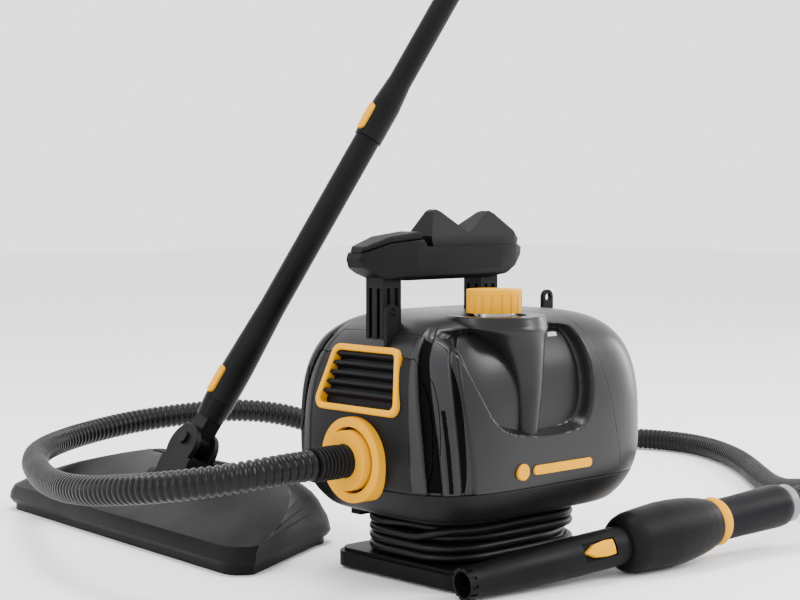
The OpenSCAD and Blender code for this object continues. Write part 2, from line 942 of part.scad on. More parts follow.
module head_grippers() {
    color(grey) at_head() difference() {
        translate([0, 0, 63.5]) linear_extrude(2.6) gripper_outline();
        for (s = [-1, 1]) translate([gripper_x - 0.6, head_mid + s * gripper_y - 11, 64]) cube([1.2, 22, 5]);
    }
}

module pitch_pin() {
    color(steel) at_head() translate(pivot + [0, yoke_w / 2 + 14, 0]) rotate([90, 0, 0])
        cylinder(r = pin_r, h = yoke_w + 28);
}

// Yoke and wand; Z runs up the wand ------------------------------------------

module at_pitch() {
    at_head() translate(pivot) rotate([0, wand_pitch, 0]) children();
}

module at_roll() {
    at_pitch() translate([0, 0, roll_h]) rotate([wand_roll, 0, 0]) children();
}

module head_yoke() {
    color(black) at_pitch() difference() {
        union() {
            rotate([90, 0, 0]) translate([0, 0, -yoke_w / 2]) cylinder(r = 15, h = yoke_w);
            translate([-15, -yoke_w / 2, 0]) cube([30, yoke_w, 24]);
            intersection() {
                translate([-15, -24, 0]) cube([30, 48, roll_h + 16]);
                translate([0, 0, roll_h - 8]) rotate([0, 90, 0]) cylinder(r = 24, h = 40, center = true);
            }
        }
        translate([-9.3, -30, 26]) cube([18.6, 60, 60]);
        rotate([90, 0, 0]) cylinder(r = pin_r + pin_gap, h = 100, center = true);
        translate([0, 0, roll_h]) rotate([0, 90, 0]) cylinder(r = pin_r + pin_gap, h = 50, center = true);
    }
}

module roll_pin() {
    color(steel) at_pitch() translate([-18, 0, roll_h]) rotate([0, 90, 0]) {
        cylinder(r = 6.5, h = 2.8);
        cylinder(r = pin_r, h = 36);
        translate([0, 0, 33.2]) cylinder(r = 6.5, h = 2.8);
    }
}

module wand_neck() {
    color(black) at_roll() difference() {
        union() {
            rotate([0, 90, 0]) cylinder(r = 14, h = 18, center = true);
            translate([-9, -12, 0]) cube([18, 24, 30]);
            translate([0, 0, 28]) cylinder(r1 = 14, r2 = sleeve_r, h = sleeve_at - 28.3);
            translate([0, 0, 30]) cylinder(r = spigot_r, h = sleeve_at + spigot_l - 30);
        }
        rotate([0, 90, 0]) cylinder(r = pin_r + pin_gap, h = 50, center = true);
        translate([0, 0, 30]) cylinder(r = 7.5, h = 100);
    }
}

// Wand with a socket at the bottom and a spigot at the top, start at z = 0
module wand(l, r, socket_r, taper) {
    difference() {
        union() {
            cylinder(r = socket_r, h = sleeve_l);
            translate([0, 0, sleeve_l]) cylinder(r1 = socket_r, r2 = r, h = taper);
            cylinder(r = r, h = l);
            cylinder(r = spigot_r, h = l + spigot_l);
        }
        translate([0, 0, -1]) cylinder(r = spigot_r + 0.1, h = socket_l + 1);
        cylinder(r = wand_bore, h = l + spigot_l + 1);
        at_button() translate([0, 0, socket_r - pocket_t]) linear_extrude(20) button_outline(clear);
    }
}

// Yellow release button: how deep its pocket and its foot lie, and how far it stands out
pocket_t = 2.8;
foot_t = 1.3;
proud_t = 2.2;
module button_outline(grow = 0) {
    square([20 + 2 * grow, 10 + 2 * grow], center = true);
    for (s = [-1, 1]) translate([s * 10, 0]) circle(5 + grow);
}
module at_button() {
    translate([0, 0, button_at]) rotate([0, -90, 0]) children();
}
module button(socket_r) {
    at_button() intersection() {
        translate([0, 0, socket_r - foot_t]) linear_extrude(6) button_outline();
        rotate([0, 90, 0]) cylinder(r = socket_r + proud_t, h = 60, center = true);
    }
}

module lower_wand() {
    color(black) at_roll() translate([0, 0, sleeve_at]) wand(wand_l - clear, wand_d / 2, sleeve_r, 70);
}

module lower_wand_button() {
    color(yellow) at_roll() translate([0, 0, sleeve_at]) button(sleeve_r);
}

module upper_wand() {
    color(black) at_roll() translate([0, 0, sleeve_at + wand_l])
        wand(upper_wand_l - spigot_l, upper_wand_d / 2, upper_sleeve_r, 30);
}

module upper_wand_button() {
    color(yellow) at_roll() translate([0, 0, sleeve_at + wand_l]) button(upper_sleeve_r);
}

base_plate();
rubber_mat();
cord_spool();
lower_pan();
front_cover();
flute_band();
filler_side_shell();
back_side_shell();
rear_cover();
filler_funnel();
filler_neck();
vent_bezel();
vent_louvres();
outlet_ring();
outlet_collar();
hose_relief();
handle_frame();
gun_cradle();
grip_pad();
strap_eyes();
indicator_lens();
badge_plate();
boiler();
boiler_bracket();
heating_element();
thermostat();
steam_valve();
steam_pipe();
terminal_block();
base_screws();
cord_gland();
cord_lead();
cord_winding();
cord_tail();
mains_plug();
steam_hose();
cap_seal();
filler_cap();
gun_nozzle();
gun_tip_ring();
gun_body_left();
gun_body_right();
gun_ring();
gun_grip();
gun_end_ring();
gun_steam_tube();
gun_switch();
gun_trigger();
gun_latch();
head_sole();
head_cover();
head_grippers();
pitch_pin();
head_yoke();
roll_pin();
wand_neck();
lower_wand();
lower_wand_button();
upper_wand();
upper_wand_button();
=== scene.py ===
"""Looks of the steam cleaner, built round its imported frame."""
import json
import math
import bmesh
import bpy
from mathutils import Matrix, Vector


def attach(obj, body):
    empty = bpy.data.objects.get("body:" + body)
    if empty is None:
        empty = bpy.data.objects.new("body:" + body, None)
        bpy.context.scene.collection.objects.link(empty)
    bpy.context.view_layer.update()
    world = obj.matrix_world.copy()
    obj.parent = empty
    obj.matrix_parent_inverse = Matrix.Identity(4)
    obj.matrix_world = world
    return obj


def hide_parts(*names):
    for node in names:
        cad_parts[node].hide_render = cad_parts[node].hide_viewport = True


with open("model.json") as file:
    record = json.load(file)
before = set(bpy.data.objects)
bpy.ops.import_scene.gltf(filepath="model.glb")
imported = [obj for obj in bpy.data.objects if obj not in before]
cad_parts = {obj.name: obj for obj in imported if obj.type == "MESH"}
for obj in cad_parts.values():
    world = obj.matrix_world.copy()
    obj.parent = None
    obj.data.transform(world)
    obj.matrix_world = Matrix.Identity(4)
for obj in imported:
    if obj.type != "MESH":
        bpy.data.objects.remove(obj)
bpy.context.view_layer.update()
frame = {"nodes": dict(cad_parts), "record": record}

MM = 0.001


# ---------------------------------------------------------------- camera

CAMERA_AT = (-1.090, -1.077, 0.332)
CAMERA_TURN = -42.9
CAMERA_DOWN = 3.4
CAMERA_LENS = 76.5


def make_camera():
    data = bpy.data.cameras.new("view_camera")
    data.lens = CAMERA_LENS
    data.sensor_width = 36
    data.clip_end = 20
    camera = bpy.data.objects.new("view_camera", data)
    camera.location = CAMERA_AT
    camera.rotation_euler = (math.radians(90 - CAMERA_DOWN), 0, math.radians(CAMERA_TURN))
    bpy.context.collection.objects.link(camera)
    bpy.context.scene.camera = camera


make_camera()


# ---------------------------------------------------------------- mesh helpers

def new_object(name, verts, faces, smooth=True):
    mesh = bpy.data.meshes.new(name)
    mesh.from_pydata([tuple(v) for v in verts], [], faces)
    mesh.update()
    if smooth:
        mesh.polygons.foreach_set("use_smooth", [True] * len(mesh.polygons))
    obj = bpy.data.objects.new(name, mesh)
    bpy.context.collection.objects.link(obj)
    return obj


def finished_mesh(bm, name):
    """A smooth-shaded object from a bmesh."""
    mesh = bpy.data.meshes.new(name)
    bm.to_mesh(mesh)
    bm.free()
    mesh.polygons.foreach_set("use_smooth", [True] * len(mesh.polygons))
    obj = bpy.data.objects.new(name, mesh)
    bpy.context.collection.objects.link(obj)
    return obj


def ring_faces(rows, n):
    """Faces between rows of n points each, laid out row after row."""
    faces = []
    for i in range(rows - 1):
        for k in range(n):
            m = (k + 1) % n
            faces.append((i * n + k, i * n + m, (i + 1) * n + m, (i + 1) * n + k))
    return faces


def curve_point(a, b, c, d, t):
    """Point between b and c on the smooth curve through a, b, c and d."""
    return 0.5 * (2 * b + (c - a) * t + (2 * a - 5 * b + 4 * c - d) * t * t
                  + (3 * b - a - 3 * c + d) * t ** 3)


def smooth_path(points, step):
    """Points at an even step along a smooth curve through the given points, in metres."""
    pts = [Vector(p) * MM for p in points]
    ends = [pts[0] * 2 - pts[1]] + pts + [pts[-1] * 2 - pts[-2]]
    fine = []
    for i in range(1, len(ends) - 2):
        a, b, c, d = ends[i - 1:i + 3]
        for k in range(16):
            fine.append(curve_point(a, b, c, d, k / 16))
    fine.append(pts[-1])
    return even_path(fine, step)


def distances(path):
    """Distance along the path to each of its points."""
    run = [0.0]
    for a, b in zip(path, path[1:]):
        run.append(run[-1] + (b - a).length)
    return run


def even_path(fine, step):
    run = distances(fine)
    count = max(2, round(run[-1] / step))
    out, j = [], 0
    for i in range(count + 1):
        s = run[-1] * i / count
        while j < len(run) - 2 and run[j + 1] < s:
            j += 1
        t = (s - run[j]) / max(1e-9, run[j + 1] - run[j])
        out.append(fine[j].lerp(fine[j + 1], min(1, max(0, t))))
    return out


def tube(name, path, radius, sides):
    """Closed tube round a path; radius is a function of the ring's index."""
    verts, faces = [], []
    side = None
    for i, p in enumerate(path):
        d = (path[min(i + 1, len(path) - 1)] - path[max(i - 1, 0)]).normalized()
        if side is None:
            side = d.cross(Vector((0, 0, 1))).normalized()
        side = (side - d * side.dot(d)).normalized()
        up = side.cross(d)
        r = radius(i)
        for k in range(sides):
            a = 2 * math.pi * k / sides
            verts.append(p + side * (r * math.cos(a)) + up * (r * math.sin(a)))
    for i in range(len(path) - 1):
        for k in range(sides):
            n = (k + 1) % sides
            a, b = i * sides, (i + 1) * sides
            faces.append((a + k, b + k, b + n, a + n))
    faces.append(tuple(range(sides)))
    last = (len(path) - 1) * sides
    faces.append(tuple(reversed([last + k for k in range(sides)])))
    return new_object(name, verts, faces)


# ---------------------------------------------------------------- cords

# Middle of the hose from the outlet, round behind the machine, to the gun's end
HOSE_ROUTE = [
    (-188, 0, 111), (-215.2, 3.4, 110), (-240.8, 13.2, 107), (-263.2, 29, 103), (-281.2, 49.9, 99),
    (-293.5, 74.4, 95), (-299.5, 101, 91), (-302, 129, 87), (-302, 158, 83), (-298, 187, 80),
    (-291, 217, 77), (-271, 272, 72), (-250, 322, 69), (-226, 373, 67), (-198, 426, 66),
    (-162, 478, 66), (-114, 522, 67), (-56, 547, 71), (6, 550, 77), (62, 534, 82), (112, 508, 85),
    (158, 482, 80), (206, 460, 65), (258, 443, 44), (316, 431, 25), (380, 424, 15), (450, 422, 14),
    (495, 424, 14), (540, 425, 14), (585, 421, 14), (628, 404, 14), (662, 373, 14), (682, 331, 14),
    (685, 284, 14), (672, 239, 14), (648, 196, 14), (616, 152, 14), (576, 107, 14), (530, 60, 14),
    (486, 14, 15), (444, -32, 20), (411, -71, 28), (377.9, -109.5, 36.5), (357.4, -128.4, 40.3),
    (332.7, -141.7, 42.5), (305.7, -148.5, 43.3), (277.8, -148.4, 41.9),
]
RIB_PITCH = 0.0066
RINGS_PER_RIB = 6
RIB_PROFILE = (0.0113, 0.0115, 0.0129, 0.0131, 0.0131, 0.0129)


def make_hose():
    """Ribbed hose; each rib is one run through RIB_PROFILE."""
    path = smooth_path(HOSE_ROUTE, RIB_PITCH / RINGS_PER_RIB)
    hose = tube("steam_hose_ribbed", path, lambda i: RIB_PROFILE[i % RINGS_PER_RIB], 28)
    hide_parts("steam_hose")
    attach(hose, "machine")
    return hose


CORD_D = 0.008
# Out of the gland, and from the winding to the plug
LEAD = [
    (-38, 73, 53), (-28, 73, 53), (-16, 71.8, 53.2), (-4, 69.4, 53.8), (8, 66.6, 54.6),
    (20, 64, 55.4),
]
TAIL = [
    (16, 66, 24), (32, 72, 24), (50, 81, 23.5), (70, 93, 17), (88, 104, 9), (106, 115, 4.8),
    (124, 125, 4.4), (142, 132, 5.5), (156, 137, 8.5), (166, 141, 10.5),
]
# Half length, half width and corner radius of the turns
OUTER = (87, 62, 41)
INNER = (79, 54, 33)
TURNS = [
    (OUTER, 56), (INNER, 56), (INNER, 48), (OUTER, 48), (OUTER, 40), (INNER, 40), (INNER, 32),
    (OUTER, 32), (INNER, 24), (OUTER, 24),
]
STEPS_A_TURN = 48


def round_rect(size, share):
    """Point of a rounded rectangle, clockwise from the middle of its +Y side; share runs 0 to 1."""
    half_l, half_w, r = size
    a, b, arc = half_l - r, half_w - r, math.pi * r / 2
    runs = [a, arc, 2 * b, arc, 2 * a, arc, 2 * b, arc, a]
    s = (share % 1.0) * sum(runs)
    for i, run in enumerate(runs):
        if s <= run or i == len(runs) - 1:
            break
        s -= run
    corners = {1: (a, b, 90), 3: (a, -b, 0), 5: (-a, -b, -90), 7: (-a, b, 180)}
    if i in corners:
        cx, cy, start = corners[i]
        t = math.radians(start - s / r * 180 / math.pi)
        return cx + r * math.cos(t), cy + r * math.sin(t)
    return {0: (s, half_w), 2: (half_l, b - s), 4: (a - s, -half_w), 6: (-half_l, s - b),
            8: (s - a, half_w)}[i]


def make_mains_cord():
    """Lead from the gland, turns outside and inside course by course, and the tail to the plug."""
    points = list(LEAD)
    change = 0.09
    lead_in = 0.07
    for turn in range(len(TURNS) - 1):
        (size, z), (next_size, next_z) = TURNS[turn], TURNS[turn + 1]
        start = 1 - change * (turn + 1)
        for k in range(STEPS_A_TURN):
            share = k / STEPS_A_TURN
            if turn == 0 and share < lead_in:
                continue
            t = min(1.0, max(0.0, (share - start) / change))
            t = 0.5 - 0.5 * math.cos(math.pi * t)
            x, y = round_rect(size, share)
            nx, ny = round_rect(next_size, share)
            points.append((x + (nx - x) * t, y + (ny - y) * t, z + (next_z - z) * t))
    points += TAIL
    path = smooth_path(points, 0.006)
    cord = tube("mains_cord", path, lambda i: CORD_D / 2, 12)
    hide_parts("cord_lead", "cord_winding", "cord_tail")
    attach(cord, "machine")
    return cord


# ---------------------------------------------------------------- casing

CASE_A, CASE_B = 140, 110
CASE_POWER, ROOF_POWER = 4.5, 3.1
PAN_DROP = 85
SEAM_Z, WAIST_Z, ROOF_Z, PAN_Z = 88, 120, 234, 60
# Outline of the pocket in the filler side, x and z
POCKET = [
    (-112, 225), (-104, 202), (-96, 176), (-83, 150), (-66, 137), (-28, 131.5), (20, 133),
    (35, 142), (41.5, 165), (42, 191), (38, 214), (32, 225),
]
POCKET_DEPTH = 13
# Seams across the casing: x at the lower seam, and how far it moves SEAM_RISE higher
FRONT_SEAM = (-127, 0)
BAND_SEAM = (-104, -7)
SEAM_RISE = 117
# Edges of the ribs and grooves as corner angles: low down, and FLUTE_RISE higher
FLUTE_Z, FLUTE_RISE = 92, 108
FLUTE_LINES = [
    (0.54, 0.50), (0.64, 0.55), (0.733, 0.63), (0.785, 0.70), (0.84, 0.765), (0.92, 0.817),
]
FLUTE_BACK_X = -70
RIB_HEIGHT, GROOVE_DEPTH, THIN_DEPTH = 1.2, 4.0, 2.0
FLUTE_EDGE = 0.03


def clamp(v, low=0.0, high=1.0):
    return min(high, max(low, v))


def ease(v):
    v = clamp(v)
    return v * v * (3 - 2 * v)


def girth(z):
    """Share of the waist's plan that the casing has at height z."""
    if z > WAIST_Z:
        rise = (z - WAIST_Z) / (ROOF_Z - WAIST_Z)
        return max(0.0, 1 - rise ** ROOF_POWER) ** (1 / CASE_POWER)
    return max(0.0, 1 - ((WAIST_Z - z) / PAN_DROP) ** 2.5) ** 0.4


def round_plan(count):
    """Plan of the casing at its waist, as evenly spaced points from +X round by +Y."""
    fine = []
    for i in range(2880):
        t = 2 * math.pi * i / 2880
        c, s = math.cos(t), math.sin(t)
        fine.append(Vector((math.copysign(CASE_A * abs(c) ** (2 / CASE_POWER), c),
                            math.copysign(CASE_B * abs(s) ** (2 / CASE_POWER), s))))
    fine.append(fine[0])
    run = distances(fine)
    out, j = [], 0
    for i in range(count):
        s = run[-1] * i / count
        while run[j + 1] < s:
            j += 1
        out.append(fine[j].lerp(fine[j + 1], (s - run[j]) / max(1e-9, run[j + 1] - run[j])))
    return out


def corner_angle(x, y):
    """Angle from the front's middle, 0, to the side's middle, in the casing's own proportions."""
    return math.atan2(abs(y) / CASE_B, -x / CASE_A)


def closer_at_flutes(plan):
    """Three times as many points round the two fluted corners."""
    out = []
    for p, q in zip(plan, plan[1:] + plan[:1]):
        out.append(p)
        if p.x < 0 and 0.44 < corner_angle(p.x, p.y) < 1.0:
            out += [p.lerp(q, 1 / 3), p.lerp(q, 2 / 3)]
    return out


def round_heights(step):
    """Heights at even steps along the casing's side outline, seam to roof."""
    fine = [SEAM_Z + (WAIST_Z - SEAM_Z) * i / 40 for i in range(40)]
    for i in range(600):
        rise = math.sin(math.pi / 2 * i / 600) ** (2 / ROOF_POWER)
        fine.append(WAIST_Z + (ROOF_Z - WAIST_Z) * rise)
    run = [0.0]
    for a, b in zip(fine, fine[1:]):
        run.append(run[-1] + math.hypot(b - a, CASE_A * (girth(b) - girth(a))))
    out, target = [fine[0]], step
    for z, s in zip(fine, run):
        if s >= target:
            out.append(z)
            target += step
    return out


def soften(poly, times):
    """The outline with its corners cut at a quarter of each side, that many times."""
    for _ in range(times):
        out = []
        for (ax, az), (bx, bz) in zip(poly, poly[1:] + poly[:1]):
            out += [(0.75 * ax + 0.25 * bx, 0.75 * az + 0.25 * bz),
                    (0.25 * ax + 0.75 * bx, 0.25 * az + 0.75 * bz)]
        poly = out
    return poly


def inside_by(poly, x, z):
    """Distance to the outline, above 0 inside it."""
    best, inside = 1e9, False
    for (ax, az), (bx, bz) in zip(poly, poly[1:] + poly[:1]):
        dx, dz = bx - ax, bz - az
        t = clamp(((x - ax) * dx + (z - az) * dz) / (dx * dx + dz * dz))
        best = min(best, math.hypot(x - ax - t * dx, z - az - t * dz))
        if (az > z) != (bz > z) and x < (bx - ax) * (z - az) / (bz - az) + ax:
            inside = not inside
    return best if inside else -best


SOFT_POCKET = soften(POCKET, 2)


def pocket_depth(x, y, z):
    """How far the pocket sinks into the filler side, with a soft rim and a shallow top."""
    if y > -30 or z < 126 or not -120 < x < 48:
        return 0.0
    return POCKET_DEPTH * ease(inside_by(SOFT_POCKET, x, z) / 5.0 + 0.3) * ease((231 - z) / 12)


def flute_angles(z):
    """Lines down the front corner, from the front face to the side."""
    share = clamp((z - FLUTE_Z) / FLUTE_RISE) ** 1.5
    return [low + (high - low) * share for low, high in FLUTE_LINES]


def flute_height(x, y, z):
    """Height of the ribs, below 0 in the grooves; the middle rib has a thin groove low down."""
    if x > FLUTE_BACK_X:
        return 0.0
    a = corner_angle(x, y)
    lines = flute_angles(z)

    def band(i, j):
        return ease((a - lines[i]) / FLUTE_EDGE + 0.5) * ease((lines[j] - a) / FLUTE_EDGE + 0.5)

    fade = ease((z - 84) / 6) * ease((228 - z) / 22)
    ribs = band(0, 1) + band(2, 4)
    grooves = band(1, 2) + band(4, 5)
    thin = ease(1.5 - abs(a - lines[3]) / 0.02) * ease((160 - z) / 40)
    return (RIB_HEIGHT * ribs - GROOVE_DEPTH * grooves - THIN_DEPTH * thin) * fade


def flute_sheen_shade_zone(x, y, z):
    """0 plain casing, 1 rib with painted sheen, 2 groove or thin line with painted shade."""
    if x > FLUTE_BACK_X or not 90 < z < 216:
        return 0
    a = corner_angle(x, y)
    lines = flute_angles(z)
    thin = abs(a - lines[3]) < 0.012 and z < 160
    if thin or lines[1] < a < lines[2] or lines[4] < a < lines[5]:
        return 2
    return 1 if lines[0] < a < lines[4] else 0


def casing_grid():
    """The casing above the seam as one skin, with the ribs and the pocket pushed into it."""
    plan = closer_at_flutes(round_plan(800))
    heights = round_heights(1.6)
    verts = []
    n = len(plan)
    for z in heights:
        g = girth(z)
        for k, p in enumerate(plan):
            tangent = (plan[(k + 1) % n] - plan[k - 1]).normalized()
            out = Vector((tangent.y, -tangent.x))
            x, y = p.x * g, p.y * g
            push = flute_height(x, y, z) - pocket_depth(x, y, z)
            verts.append(Vector((x + out.x * push, y + out.y * push, z)) * MM)
    faces = ring_faces(len(heights), n)
    verts.append(Vector((0, 0, ROOF_Z)) * MM)
    top = (len(heights) - 1) * n
    for k in range(n):
        faces.append((top + k, top + (k + 1) % n, len(verts) - 1))
    return verts, faces


def cut_piece(name, grid, planes):
    """The part of a grid on the keep side of each (point, normal) plane, given a thickness."""
    bm = bmesh.new()
    made = [bm.verts.new(v) for v in grid[0]]
    for face in grid[1]:
        bm.faces.new([made[i] for i in face])
    for point, normal in planes:
        geometry = bm.verts[:] + bm.edges[:] + bm.faces[:]
        bmesh.ops.bisect_plane(bm, geom=geometry, dist=1e-6, plane_co=Vector(point) * MM,
                               plane_no=Vector(normal), clear_inner=True)
    obj = finished_mesh(bm, name)
    thick = obj.modifiers.new("thick", "SOLIDIFY")
    thick.thickness = 0.0022
    thick.offset = -1
    bevel = obj.modifiers.new("edge", "BEVEL")
    bevel.width = 0.0006
    bevel.segments = 2
    bevel.limit_method = "ANGLE"
    bevel.angle_limit = math.radians(50)
    return obj


# ---------------------------------------------------------------- materials

def node_material(name, color, rough, grain=900.0, bump=0.04, varied=0.25, metal=0.0, coat=0.0,
                  blotch=14.0, worn=0.0, stretch=(1, 1, 1), shine=0.5):
    """Moulded or metal surface: colour drift, grain, roughness drift, fine bump and worn edges."""
    mat = bpy.data.materials.new(name)
    mat.use_nodes = True
    nodes, links = mat.node_tree.nodes, mat.node_tree.links
    shader = nodes["Principled BSDF"]
    shader.inputs["Metallic"].default_value = metal
    shader.inputs["Coat Weight"].default_value = coat
    shader.inputs["Coat Roughness"].default_value = 0.12
    shader.inputs["Specular IOR Level"].default_value = shine
    place = nodes.new("ShaderNodeTexCoord")
    scale = nodes.new("ShaderNodeMapping")
    scale.inputs["Scale"].default_value = stretch
    links.new(place.outputs["Object"], scale.inputs["Vector"])

    def noise_node(size, detail):
        tex = nodes.new("ShaderNodeTexNoise")
        tex.inputs["Scale"].default_value = size
        tex.inputs["Detail"].default_value = detail
        links.new(scale.outputs["Vector"], tex.inputs["Vector"])
        return tex

    def ramp(source, low, high):
        out = nodes.new("ShaderNodeMapRange")
        out.inputs["From Min"].default_value = 0.3
        out.inputs["From Max"].default_value = 0.7
        out.inputs["To Min"].default_value = low
        out.inputs["To Max"].default_value = high
        links.new(source, out.inputs["Value"])
        return out.outputs["Result"]

    broad, fine = noise_node(blotch, 4), noise_node(grain, 2)
    mix = nodes.new("ShaderNodeMix")
    mix.data_type = "RGBA"
    mix.inputs["A"].default_value = (*[c * (1 - varied) for c in color], 1)
    mix.inputs["B"].default_value = (*[min(1, c * (1 + varied)) for c in color], 1)
    links.new(ramp(broad.outputs["Fac"], 0, 1), mix.inputs["Factor"])
    tone = mix.outputs["Result"]
    if worn:
        geometry = nodes.new("ShaderNodeNewGeometry")
        edge = nodes.new("ShaderNodeMapRange")
        edge.inputs["From Min"].default_value = 0.53
        edge.inputs["From Max"].default_value = 0.62
        edge.inputs["To Max"].default_value = worn
        links.new(geometry.outputs["Pointiness"], edge.inputs["Value"])
        wear = nodes.new("ShaderNodeMix")
        wear.data_type = "RGBA"
        wear.inputs["B"].default_value = (*[min(1, c * 1.6 + 0.03) for c in color], 1)
        links.new(edge.outputs["Result"], wear.inputs["Factor"])
        links.new(tone, wear.inputs["A"])
        tone = wear.outputs["Result"]
    links.new(tone, shader.inputs["Base Color"])
    drift = ramp(broad.outputs["Fac"], rough * 0.82, min(1, rough * 1.22))
    links.new(drift, shader.inputs["Roughness"])
    relief = nodes.new("ShaderNodeBump")
    relief.inputs["Strength"].default_value = bump
    relief.inputs["Distance"].default_value = 0.0006
    links.new(fine.outputs["Fac"], relief.inputs["Height"])
    links.new(relief.outputs["Normal"], shader.inputs["Normal"])
    return mat


BLACK = (0.004, 0.004, 0.0045)
YELLOW = (0.62, 0.28, 0.0)
MATERIALS = {
    "shell": node_material("shell_black", (0.006, 0.006, 0.0065), 0.32, 1400, 0.06, worn=0.05,
                           shine=0.24),
    "front": node_material("front_black", (0.003, 0.003, 0.0035), 0.38, 1100, 0.16, worn=0.1,
                           shine=0.12),
    # Ribs: the shell's plastic, rougher, with its colour painted lighter as a painted sheen where the
    # ribs catch the light
    "flute": node_material("rib_painted_sheen", (0.012, 0.012, 0.013), 0.42, 1100, 0.10, worn=0.05,
                           shine=0.2),
    # Grooves: the same plastic painted near black as painted shade, where the grooves fall in shadow
    "groove": node_material("groove_painted_shade", (0.001, 0.001, 0.001), 0.60, 1100, 0.10, shine=0.03),
    "black": node_material("moulded_black", BLACK, 0.42, 1200, 0.25, worn=0.05, shine=0.07),
    "dark": node_material("dark_black", (0.004, 0.004, 0.005), 0.46, 1000, 0.30, worn=0.05, shine=0.08),
    "soft": node_material("soft_black", (0.005, 0.005, 0.006), 0.58, 1500, 0.40, shine=0.12),
    "hose": node_material("hose_black", (0.003, 0.003, 0.0035), 0.34, 700, 0.10, worn=0.1, shine=0.15),
    "cord": node_material("cord_black", (0.004, 0.004, 0.0045), 0.38, 900, 0.15, shine=0.15),
    "rubber": node_material("rubber_black", (0.007, 0.007, 0.007), 0.70, 1200, 0.45, shine=0.12),
    "yellow": node_material("moulded_yellow", YELLOW, 0.45, 1300, 0.12, varied=0.06, shine=0.06),
    "steel": node_material("drawn_steel", (0.60, 0.60, 0.62), 0.28, 500, 0.10, 0.12, metal=1.0,
                           stretch=(1, 1, 14)),
    "brass": node_material("brass", (0.70, 0.50, 0.22), 0.30, 600, 0.10, 0.12, metal=1.0),
    "grey": node_material("moulded_grey", (0.17, 0.175, 0.185), 0.40, 1300, 0.15, 0.12, shine=0.4),
    "lens": node_material("clear_lens", (0.40, 0.40, 0.38), 0.12, 400, 0.02, 0.05, coat=0.6),
}
SLOT_LOOK = {
    "gloss_black": "shell", "black_plastic": "black", "dark_plastic": "dark",
    "yellow_plastic": "yellow", "rubber": "rubber", "cord_jacket": "cord", "hose_jacket": "hose",
    "steel": "steel", "brass": "brass", "grey_plastic": "grey", "lens": "lens",
}
NODE_SLOT = {s["node"]: s["material_slot"] for s in frame["record"]["subparts"]}
NODE_BODY = {n: b for b, names in frame["record"]["behaviour"]["bodies"].items() for n in names}


def dress(obj, look):
    obj.data.materials.clear()
    obj.data.materials.append(MATERIALS[look])


def stand_for(obj, node, look=None):
    """obj takes the place of a CAD node, on its body and with its slot."""
    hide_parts(node)
    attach(obj, NODE_BODY[node])
    dress(obj, look or SLOT_LOOK[NODE_SLOT[node]])
    return obj


for node_name, cad_piece in frame["nodes"].items():
    dress(cad_piece, SLOT_LOOK[NODE_SLOT[node_name]])


# ---------------------------------------------------------------- refined copies of CAD pieces

def joined_copy(node):
    """The mesh of a CAD node as a bmesh, with its doubled points joined."""
    bm = bmesh.new()
    bm.from_mesh(frame["nodes"][node].data)
    bmesh.ops.remove_doubles(bm, verts=bm.verts[:], dist=2e-6)
    return bm


def refine(node, bevel):
    """A copy of a CAD node with clean flats and rounded edges; bevel is in millimetres."""
    bm = joined_copy(node)
    bmesh.ops.dissolve_limit(bm, angle_limit=math.radians(1.0), verts=bm.verts[:], edges=bm.edges[:])
    obj = finished_mesh(bm, node + "_finished")
    edge = obj.modifiers.new("edge", "BEVEL")
    edge.width = bevel * MM
    edge.segments = 3
    edge.limit_method = "ANGLE"
    edge.angle_limit = math.radians(32)
    edge.use_clamp_overlap = True
    even = obj.modifiers.new("even", "WEIGHTED_NORMAL")
    even.keep_sharp = True
    return stand_for(obj, node)


def smooth_copy(node, angle, look=None):
    """A copy of a CAD node with even shading across its facets, sharp only past the angle."""
    bm = joined_copy(node)
    for edge in bm.edges:
        edge.smooth = len(edge.link_faces) == 2 and edge.calc_face_angle() < math.radians(angle)
    return stand_for(finished_mesh(bm, node + "_smooth"), node, look)


# Pieces with rounded edges, and the width of the rounding in millimetres
REFINED = {
    "base_plate": 1.2, "handle_frame": 1.6, "gun_cradle": 2.2, "grip_pad": 1.5, "vent_bezel": 1.6,
    "outlet_ring": 1.6, "outlet_collar": 1.2, "filler_cap": 0.8, "badge_plate": 0.4,
    "gun_tip_ring": 0.6, "gun_ring": 0.8, "gun_grip": 0.5, "gun_end_ring": 0.8, "gun_latch": 1.2,
    "gun_trigger": 1.0, "head_yoke": 1.2, "wand_neck": 0.8, "lower_wand": 0.6, "upper_wand": 0.6,
    "lower_wand_button": 0.8, "upper_wand_button": 0.8, "hose_relief": 0.4, "strap_eyes": 0.6,
    "rubber_mat": 0.6, "indicator_lens": 0.5, "head_sole": 0.8,
}


# ---------------------------------------------------------------- casing pieces

REAR_LEAN = math.radians(15.5)
REAR_NORMAL = (math.cos(REAR_LEAN), 0, math.sin(REAR_LEAN))
FRONT_NORMAL = Vector((1, 0, -FRONT_SEAM[1] / SEAM_RISE)).normalized()
BAND_NORMAL = Vector((1, 0, -BAND_SEAM[1] / SEAM_RISE)).normalized()
FRONT_AT = (FRONT_SEAM[0], 0, SEAM_Z)
BAND_AT = (BAND_SEAM[0], 0, SEAM_Z)
REAR_AT = (77, 0, 110)
GAP = 0.22
VENT_AT = Vector((-134, 0, 179))
VENT_TURN = Matrix.Rotation(math.radians(15 - 90), 4, "Y")
VENT_HALF_H, VENT_HALF_W, VENT_TAPER = 26.5, 46.5, 0.08
NECK_X, NECK_Y, NECK_HOLE_R = -36, -62, 19.5


def shifted(point, normal, by):
    return tuple(Vector(point) + Vector(normal) * by)


def back(normal):
    return tuple(-Vector(normal))


def drop_faces(obj, inside):
    """Opens a hole: takes out the faces whose centre is inside."""
    bm = bmesh.new()
    bm.from_mesh(obj.data)
    gone = [f for f in bm.faces if inside(f.calc_center_median() / MM)]
    bmesh.ops.delete(bm, geom=gone, context="FACES")
    bm.to_mesh(obj.data)
    bm.free()


def at_neck(p):
    return p.z > 190 and math.hypot(p.x - NECK_X, p.y - NECK_Y) < NECK_HOLE_R


